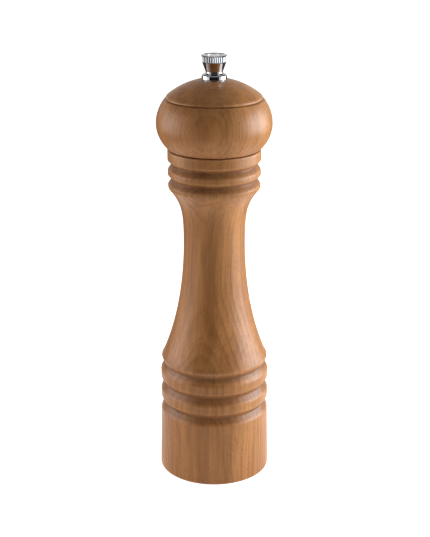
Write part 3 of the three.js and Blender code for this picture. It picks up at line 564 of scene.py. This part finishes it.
def body_outside(sizes, foot_radius, top):
    """The body's outer outline, from its foot to its top."""
    base_top = (foot_radius - sizes.base_taper, sizes.base_height)
    groove_radius = base_top[0] - sizes.groove_depth
    edge = sizes.foot_edge
    points = arc((foot_radius - edge, edge), (edge, edge), -90, 0, 6)
    points += [(foot_radius + (base_top[0] - foot_radius) * i / 8, edge + (base_top[1] - edge) * i / 8)
               for i in range(1, 9)]
    groove = (groove_radius, sizes.base_height + sizes.groove_slope)
    points.append(groove)
    for _ in range(LOWER_RINGS):
        after = (groove_radius, groove[1] + sizes.ring_pitch)
        points += ring(groove, after, base_top[0], sizes.groove_wall, sizes.groove_slope)
        groove = after
    shoulder = (base_top[0] - sizes.shoulder_inset, groove[1] + sizes.shoulder_rise)
    points.append((shoulder[0], groove[1] + sizes.groove_wall))

    # The waist leaves the lower shoulder on a slope and opens again towards the upper one.
    start = (shoulder[0] - 0.58 * MM, shoulder[1] + 1.3 * MM)
    narrow = (sizes.waist_radius, top - sizes.waist_below_top)
    last = (sizes.collar_radius - sizes.upper_depth, top - sizes.collar_height)
    groove = (last[0], last[1] - sizes.upper_pitch)
    upper = (sizes.collar_radius - 0.15 * MM, groove[1] - sizes.upper_slope)
    end = (upper[0] - 0.85 * MM, upper[1] - 2.7 * MM)
    below, above = narrow[1] - start[1], end[1] - narrow[1]
    points.append(shoulder)
    points += bezier([shoulder, (shoulder[0], shoulder[1] + 0.6 * MM), start], 5)
    points += bezier([start, (start[0] - 0.046 * below, start[1] + 0.1 * below),
                      (narrow[0], narrow[1] - 0.55 * below), narrow], 44)
    points += bezier([narrow, (narrow[0], narrow[1] + 0.55 * above),
                      (end[0] - 0.22 * above, end[1] - 0.275 * above), end], 30)
    points += bezier([end, (upper[0], end[1] + 0.9 * MM), upper], 6)
    points.append(groove)
    points += ring(groove, last, sizes.collar_radius - 0.1 * MM, sizes.upper_wall, sizes.upper_slope)
    points.append((sizes.collar_radius, last[1] + sizes.upper_wall))
    points += arc((sizes.collar_radius - sizes.edge, top - sizes.edge), (sizes.edge, sizes.edge), 0, 90, 5)
    return divided(eased(points, sizes.corner, steps=5), 0.9 * MM)


def body_inside(sizes, top):
    """The body's bores, from its top down to its foot."""
    floor = top - sizes.recess_depth
    bores = [
        (sizes.recess_radius, top),
        (sizes.recess_radius, floor),
        (sizes.chamber_radius, floor),
        (sizes.chamber_radius, sizes.mechanism_top),
        (sizes.mechanism_radius, sizes.mechanism_top),
        (sizes.mechanism_radius, sizes.foot_recess_depth),
        (sizes.foot_recess_radius, sizes.foot_recess_depth),
        (sizes.foot_recess_radius, 0.0),
    ]
    entry = [(bores[0][0] + 1.0 * MM, top)]
    return eased(entry + bores + [(bores[-1][0] + 1.0 * MM, 0.0)], 0.3 * MM)


def head_outside(sizes, low, widest, seat):
    """The head's outer outline, from its lower face to the flat under the knob."""
    lower_angle = math.acos(sizes.lower_radius / widest)
    lip_radius = widest - sizes.lip_inset
    lip_angle = math.acos(lip_radius / widest)
    equator = low + sizes.equator
    groove = low + sizes.groove
    lower_height = sizes.equator / math.sin(lower_angle)
    upper_height = (groove - 0.5 * MM - equator) / math.sin(lip_angle)
    points = [(sizes.lower_radius - 0.5 * MM, low)]
    points += arc((0, equator), (widest, lower_height), -math.degrees(lower_angle), 0, 28)
    points += arc((0, equator), (widest, upper_height), 0, math.degrees(lip_angle), 28)[1:]

    groove_radius = lip_radius - sizes.groove_depth
    dome_radius = lip_radius - 0.8 * MM
    apex = low + sizes.apex
    rise = apex - groove - 1 * MM
    sphere = (dome_radius**2 + rise**2) / (2 * rise)

    def angle_at(height):
        return math.degrees(math.asin((height - apex + sphere) / sphere))

    dome = arc((0, apex - sphere), (sphere, sphere), angle_at(groove + sizes.dome_edge), angle_at(seat), 40)
    points.append((groove_radius, groove))
    points += bezier([(groove_radius, groove), (dome_radius + 0.3 * MM, groove + 0.4 * MM), dome[0]], 10)
    return points + dome[1:]


def head_inside(sizes, low, seat):
    """The spindle's hole and the spigot, from the flat down and round to the lower face."""
    foot = low - sizes.spigot_length
    corners = [
        (sizes.bore_radius + 1.0 * MM, seat),
        (sizes.bore_radius, seat),
        (sizes.bore_radius, foot),
        (sizes.spigot_radius, foot),
        (sizes.spigot_radius, low),
        (sizes.lower_radius - 1.0 * MM, low),
    ]
    return eased(corners, 0.5 * MM)


class MillBodyTurn(bpy.types.Operator):
    """Turns the beech body with its rings, waist and bores"""

    bl_idname = "pepper_mill.turn_body"
    bl_label = "Turn the body"

    def execute(self, context):
        sizes = context.scene.mill_body_sizes
        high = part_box("mill_body")[1]
        bm = bmesh.new()
        spin_outline(bm, body_outside(sizes, high.x, high.z), body_inside(sizes, high.z))
        piece = finish_mesh(bm, "turned_body", finish("body_beech"))
        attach(piece, "mill")
        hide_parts("mill_body")
        return {"FINISHED"}


class MillHeadTurn(bpy.types.Operator):
    """Turns the beech head with its dome, groove and spigot"""

    bl_idname = "pepper_mill.turn_head"
    bl_label = "Turn the head"

    def execute(self, context):
        sizes = context.scene.mill_head_sizes
        foot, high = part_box("mill_head")
        low = foot.z + sizes.spigot_length
        bm = bmesh.new()
        spin_outline(bm, head_outside(sizes, low, high.x, high.z), head_inside(sizes, low, high.z))
        piece = finish_mesh(bm, "turned_head", finish("head_beech"))
        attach(piece, "head_set")
        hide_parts("mill_head")
        return {"FINISHED"}


# ---- Knob ---------------------------------------------------------------------------------


def rim_foot(sizes, high):
    """Height of the fluted rim's lower edge, given the knob's top."""
    return high - sizes.rim_height - sizes.crown


def knob_outline(sizes, low, high):
    """The knob from its blind hole out and up to the middle of its top."""
    rim_low = rim_foot(sizes, high)
    rim = sizes.rim_radius
    profile = [
        (0.0, low + sizes.bore_depth),
        (sizes.bore_radius, low + sizes.bore_depth),
        (sizes.bore_radius, low + 0.4 * MM),
        (sizes.bore_radius + 0.4 * MM, low),
        (sizes.flange_radius, low),
        (sizes.flange_radius, low + 2.1 * MM),
        (sizes.flange_radius - 0.7 * MM, low + 2.75 * MM),
        (sizes.neck_radius + 0.1 * MM, low + sizes.neck_height - 0.25 * MM),
        (sizes.neck_radius, low + sizes.neck_height),
        (rim - sizes.cone_inset, rim_low),
        (rim - 0.4 * MM, rim_low),
        (rim, rim_low + 0.25 * MM),
        (rim, high - 0.62 * MM),
        (rim - 0.7 * MM, high - 0.05 * MM),
        (rim - 0.9 * MM, high),
        (rim - 1.3 * MM, high),
        (rim - 1.65 * MM, high - 0.34 * MM),
        (1.4 * MM, high - 0.22 * MM),
        (0.0, high - 0.22 * MM),
    ]
    return eased(profile, 0.28 * MM, steps=4)


class MillKnobTurn(bpy.types.Operator):
    """Turns the chrome knob, cuts the flutes in its rim and adds a plain tapered arc on its top"""

    bl_idname = "pepper_mill.turn_knob"
    bl_label = "Turn the knob"

    def execute(self, context):
        sizes = context.scene.mill_knob_sizes
        low, high = (corner.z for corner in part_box("adjusting_knob"))
        bm = bmesh.new()
        spin_outline(bm, knob_outline(sizes, low, high), sides=sizes.flutes * FLUTE_SIDES, closed=False)
        self.cut_flutes(bm, sizes, rim_foot(sizes, high))
        piece = finish_mesh(bm, "knob_shell", finish("knob_chrome"), smooth_angle=50)
        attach(piece, "knob")
        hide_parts("adjusting_knob")

        bm = bmesh.new()
        self.tapered_arc(bm, high - 0.30 * MM, 0.12 * MM)
        mark = finish_mesh(bm, "knob_mark", finish("knob_chrome"))
        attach(mark, "knob")
        return {"FINISHED"}

    def cut_flutes(self, bm, sizes, rim_low):
        """Draws the rim in between its ridges. Only the flutes are marked for painted shade."""
        inner = sizes.rim_radius - sizes.flute_reach
        wear_and_shade_layer = bm.verts.layers.float["wear_and_shade"]
        for vert in bm.verts:
            x, y, z = vert.co
            radius = math.hypot(x, y)
            vert[wear_and_shade_layer] = 0.0
            if radius < inner or z < rim_low:
                continue
            ridge = abs(math.sin(sizes.flutes * math.atan2(y, x) / 2))
            fade = min(1.0, (radius - inner) / (sizes.rim_radius - inner))
            vert[wear_and_shade_layer] = -fade * max(0.0, 1 - FLUTE_SHADE * ridge)
            scale = 1 - sizes.flute_depth * (1 - ridge) * fade / radius
            vert.co = (x * scale, y * scale, z)

    def tapered_arc(self, bm, height, thickness):
        """A raised arc that narrows almost to a point, in place of any lettering."""
        outer, widest, sweep, steps = 4.2 * MM, 1.5 * MM, math.radians(250), 40
        verts = [bm.verts.new((outer - widest, 0, height)), bm.verts.new((outer, 0, height))]
        edge = bm.edges.new(verts)
        bmesh.ops.spin(bm, geom=verts + [edge], cent=(0, 0, 0), axis=(0, 0, 1), dvec=(0, 0, 0), angle=sweep,
                       steps=steps, use_merge=False, use_duplicate=False)
        for vert in bm.verts:
            angle = math.atan2(vert.co.y, vert.co.x) % math.tau
            radius = math.hypot(vert.co.x, vert.co.y)
            if radius < outer - widest / 2:
                share = ARC_POINT + (1 - ARC_POINT) * (1 - min(angle / sweep, 1.0))
                vert.co *= Vector(((outer - widest * share) / radius,) * 2 + (1,))
        raised = bmesh.ops.extrude_face_region(bm, geom=list(bm.faces))
        lifted = [item for item in raised["geom"] if isinstance(item, bmesh.types.BMVert)]
        bmesh.ops.translate(bm, vec=(0, 0, thickness), verts=lifted)


# ---- Spring -------------------------------------------------------------------------------


class MillSpringWind(bpy.types.Operator):
    """Winds the round spring between the seat washer and the rotor, and lets it close as the rotor rises"""

    bl_idname = "pepper_mill.wind_spring"
    bl_label = "Wind the spring"

    def execute(self, context):
        sizes = context.scene.mill_spring_sizes
        low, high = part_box("grind_spring")
        wire = sizes.wire_radius
        start, end = low.z + wire, high.z - wire
        steps = round(sizes.turns * COIL_STEPS)
        bm = bmesh.new()
        bmesh.ops.create_circle(bm, cap_ends=False, radius=wire, segments=16)
        bmesh.ops.rotate(bm, cent=(0, 0, 0), matrix=Matrix.Rotation(math.pi / 2, 3, "X"), verts=bm.verts)
        bmesh.ops.translate(bm, vec=(sizes.coil_radius, 0, start), verts=bm.verts)
        bmesh.ops.spin(bm, geom=list(bm.verts) + list(bm.edges), cent=(0, 0, 0), axis=(0, 0, 1),
                       dvec=(0, 0, (end - start) / steps), angle=sizes.turns * math.tau, steps=steps,
                       use_merge=False, use_duplicate=False)
        bmesh.ops.holes_fill(bm, edges=[edge for edge in bm.edges if edge.is_boundary], sides=0)
        piece = finish_mesh(bm, "wound_spring", finish("zinc_steel"))
        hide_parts("grind_spring")
        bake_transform(piece, "spindle_set", "turning_seat", start=(0, 0, low.z), end=(0, 0, high.z))
        return {"FINISHED"}


# ---- Hardware kept from the CAD model -----------------------------------------------------

HARDWARE = {
    "zinc_steel": ["knob_washer", "spindle", "drive_plate", "grinder_housing", "rotor_washer", "rotor_clip",
                   "spring_seat_washer", "retaining_bar", "bar_screw_1", "bar_screw_2",
                   *(f"drive_plate_screw_{number}" for number in (1, 2, 3))],
    "burr_steel": ["stator_ring", "rotor_burr"],
    "bush_nylon": ["spindle_bush"],
}


class MillHardwareFinish(bpy.types.Operator):
    """Gives the grinder's own pieces their metal and nylon finishes"""

    bl_idname = "pepper_mill.finish_hardware"
    bl_label = "Finish the hardware"

    def execute(self, context):
        for name, nodes in HARDWARE.items():
            for node in nodes:
                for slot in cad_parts[node].material_slots:
                    slot.material = finish(name)
        return {"FINISHED"}


# ---- Stage --------------------------------------------------------------------------------


class MillStageSettings(bpy.types.PropertyGroup):
    """Where the camera and the lights stand."""

    camera_distance: length("Camera distance", "From the mill's axis, along the floor", 650.7)
    camera_height: length("Camera height", "Over the floor", 345.7)
    camera_side: length("Camera side step", "To the right of the mill's axis", 0.4)
    camera_tilt: factor("Camera tilt", "How many degrees the camera looks down", 19.14)
    lens: factor("Lens", "Focal length in millimetres on a 36 mm frame", 82.1)
    key_power: factor("Right light", "Watts of the light on the right", 10.4)
    fill_power: factor("Left light", "Watts of the light on the left", 3.9)
    card_power: factor("Reflected cards", "Watts of the cards that are seen only in reflections", 0.9)
    floor_glow: factor("Floor glow", "How strongly the floor is lit from below", 0.20)
    backdrop: factor("Backdrop", "How bright the wall behind the mill is", 0.75)
    ceiling: factor("Ceiling", "How bright the room is overhead", 0.30)
    room: factor("Room", "How bright the rest of the room is", 0.01)
    floor_front: length("Floor front", "How far the floor reaches in front of the mill", 600.0)


def studio_world(stage):
    """A dark room with a pale backdrop, and plain white where the camera sees past the floor."""
    world = bpy.data.worlds.new("studio")
    tree = Tree(world)
    way = tree.split(tree.add("ShaderNodeTexCoord").outputs["Generated"])
    behind = tree.math("MULTIPLY", tree.spread(way[1], 0.55, 0.90, smooth=True),
                       tree.spread(way[2], 0.35, 0.75, 1.0, 0.0, smooth=True))
    above = tree.spread(way[2], 0.35, 0.95, smooth=True)
    sky = tree.math("ADD", tree.math("MULTIPLY", behind, stage.backdrop), stage.room)
    sky = tree.math("ADD", sky, tree.math("MULTIPLY", above, stage.ceiling))
    room = tree.add("ShaderNodeBackground", {"Color": (1.0, 0.985, 0.96, 1.0), "Strength": sky})
    seen = tree.add("ShaderNodeBackground", {"Color": (1.0, 1.0, 1.0, 1.0), "Strength": 1.0})
    camera = tree.add("ShaderNodeLightPath").outputs["Is Camera Ray"]
    both = tree.add("ShaderNodeMixShader", {0: camera, 1: room.outputs[0], 2: seen.outputs[0]})
    tree.add("ShaderNodeOutputWorld", {"Surface": both.outputs[0]})
    bpy.context.scene.world = world


def pale_floor(palette, glow):
    """A matt white floor, lit from below, that fades to black with distance in reflections."""
    material = bpy.data.materials.new("pale_floor")
    tree = Tree(material)
    place = tree.place()
    mottle = tree.noise(place, scale=0.02, detail=3.0)
    shade = tree.mix(tree.spread(mottle, 0.3, 0.7, 0.0, 0.25), rgb(palette.floor),
                     darker(palette.floor, 0.97))
    away = tree.vector("LENGTH", tree.vector("ADD", place, (0.0, 20.0, 0.0)))
    fading = tree.spread(away, NEAR_FLOOR, FAR_FLOOR, 0.6, 0.02, smooth=True)
    path = tree.add("ShaderNodeLightPath").outputs
    unseen = tree.add("ShaderNodeMix", {"Factor": path["Is Glossy Ray"], "A": glow, "B": fading})
    strength = tree.add("ShaderNodeMix", {"Factor": path["Is Camera Ray"], "A": unseen.outputs["Result"],
                                          "B": 1.0}).outputs["Result"]
    far = tree.spread(away, NEAR_FLOOR, FAR_FLOOR, smooth=True)
    hidden = tree.math("MULTIPLY", path["Is Glossy Ray"], far)
    shade = tree.mix(hidden, shade, (0.02, 0.02, 0.02))
    tree.surface(**{"Base Color": shade, "Roughness": 0.9, "Specular IOR Level": 0.1,
                    "Emission Color": (1.0, 1.0, 1.0, 1.0), "Emission Strength": strength})
    return material


def soft_light(name, bearing, distance, height, size, power, reflected_only=False, tint=(1.0, 1.0, 1.0)):
    """A large rectangular light that the camera doesn't see, at a bearing from the camera's side."""
    angle = math.radians(bearing)
    place = (distance * math.sin(angle), -distance * math.cos(angle), height)
    data = bpy.data.lights.new(name, "AREA")
    data.shape = "RECTANGLE"
    data.size, data.size_y = size
    data.energy = power
    data.color = tint
    light = bpy.data.objects.new(name, data)
    light.location = place
    light.rotation_euler = (Vector((0, 0, 0.13)) - Vector(place)).to_track_quat("-Z", "Y").to_euler()
    light.visible_camera = False
    light.visible_diffuse = not reflected_only
    bpy.context.scene.collection.objects.link(light)


class MillStage(bpy.types.Operator):
    """Sets up the floor, the soft lights and the camera"""

    bl_idname = "pepper_mill.set_stage"
    bl_label = "Set the stage"

    def execute(self, context):
        scene = context.scene
        stage = scene.mill_stage
        bm = bmesh.new()
        bmesh.ops.create_grid(bm, x_segments=8, y_segments=8, size=FLOOR_HALF)
        bmesh.ops.translate(bm, vec=(0, FLOOR_HALF - stage.floor_front, 0), verts=bm.verts)
        floor = finish_mesh(bm, "floor", pale_floor(scene.mill_colours, stage.floor_glow))

        studio_world(stage)
        lamp = {"distance": 0.80, "height": 0.22, "size": (0.75, 0.60)}
        card = {"distance": 0.50, "height": 0.20, "size": (0.60, 0.50), "power": stage.card_power}
        soft_light("right_light", bearing=94, power=stage.key_power, tint=(0.96, 1.06, 1.16), **lamp)
        soft_light("left_light", bearing=-96, power=stage.fill_power, **lamp)
        soft_light("right_card", bearing=76, reflected_only=True, **card)
        soft_light("left_card", bearing=-76, reflected_only=True, **card)

        data = bpy.data.cameras.new("camera")
        data.lens = stage.lens
        data.sensor_width = 36.0
        camera = bpy.data.objects.new("camera", data)
        camera.location = (stage.camera_side, -stage.camera_distance, stage.camera_height)
        camera.rotation_euler = (math.radians(90 - stage.camera_tilt), 0, 0)
        scene.collection.objects.link(camera)
        scene.camera = camera
        scene.view_settings.view_transform = "Standard"
        scene.view_settings.look = "None"
        return {"FINISHED"}


# ---- Panel and registration ---------------------------------------------------------------


STEPS = (MillStage, MillBodyTurn, MillHeadTurn, MillKnobTurn, MillSpringWind, MillHardwareFinish)
SETTINGS = {
    "mill_body_sizes": MillBodySizes,
    "mill_head_sizes": MillHeadSizes,
    "mill_knob_sizes": MillKnobSizes,
    "mill_spring_sizes": MillSpringSizes,
    "mill_colours": MillColours,
    "mill_stage": MillStageSettings,
}


class MillPanel(bpy.types.Panel):
    """Lists the mill's steps and settings in the sidebar"""

    bl_idname = "VIEW3D_PT_pepper_mill"
    bl_label = "Pepper mill"
    bl_space_type = "VIEW_3D"
    bl_region_type = "UI"
    bl_category = "Pepper mill"

    def draw(self, context):
        for step in STEPS:
            self.layout.operator(step.bl_idname)
        for name, group in SETTINGS.items():
            box = self.layout.box()
            for setting in group.__annotations__:
                box.prop(getattr(context.scene, name), setting)


def register():
    for group in SETTINGS.values():
        bpy.utils.register_class(group)
    for step in STEPS:
        bpy.utils.register_class(step)
    bpy.utils.register_class(MillPanel)
    for name, group in SETTINGS.items():
        setattr(bpy.types.Scene, name, PointerProperty(type=group))


def unregister():
    for name in SETTINGS:
        delattr(bpy.types.Scene, name)
    bpy.utils.unregister_class(MillPanel)
    for step in reversed(STEPS):
        bpy.utils.unregister_class(step)
    for group in reversed(list(SETTINGS.values())):
        bpy.utils.unregister_class(group)


def main():
    register()
    for step in STEPS:
        area, name = step.bl_idname.split(".")
        getattr(getattr(bpy.ops, area), name)()


if __name__ == "__main__":
    main()
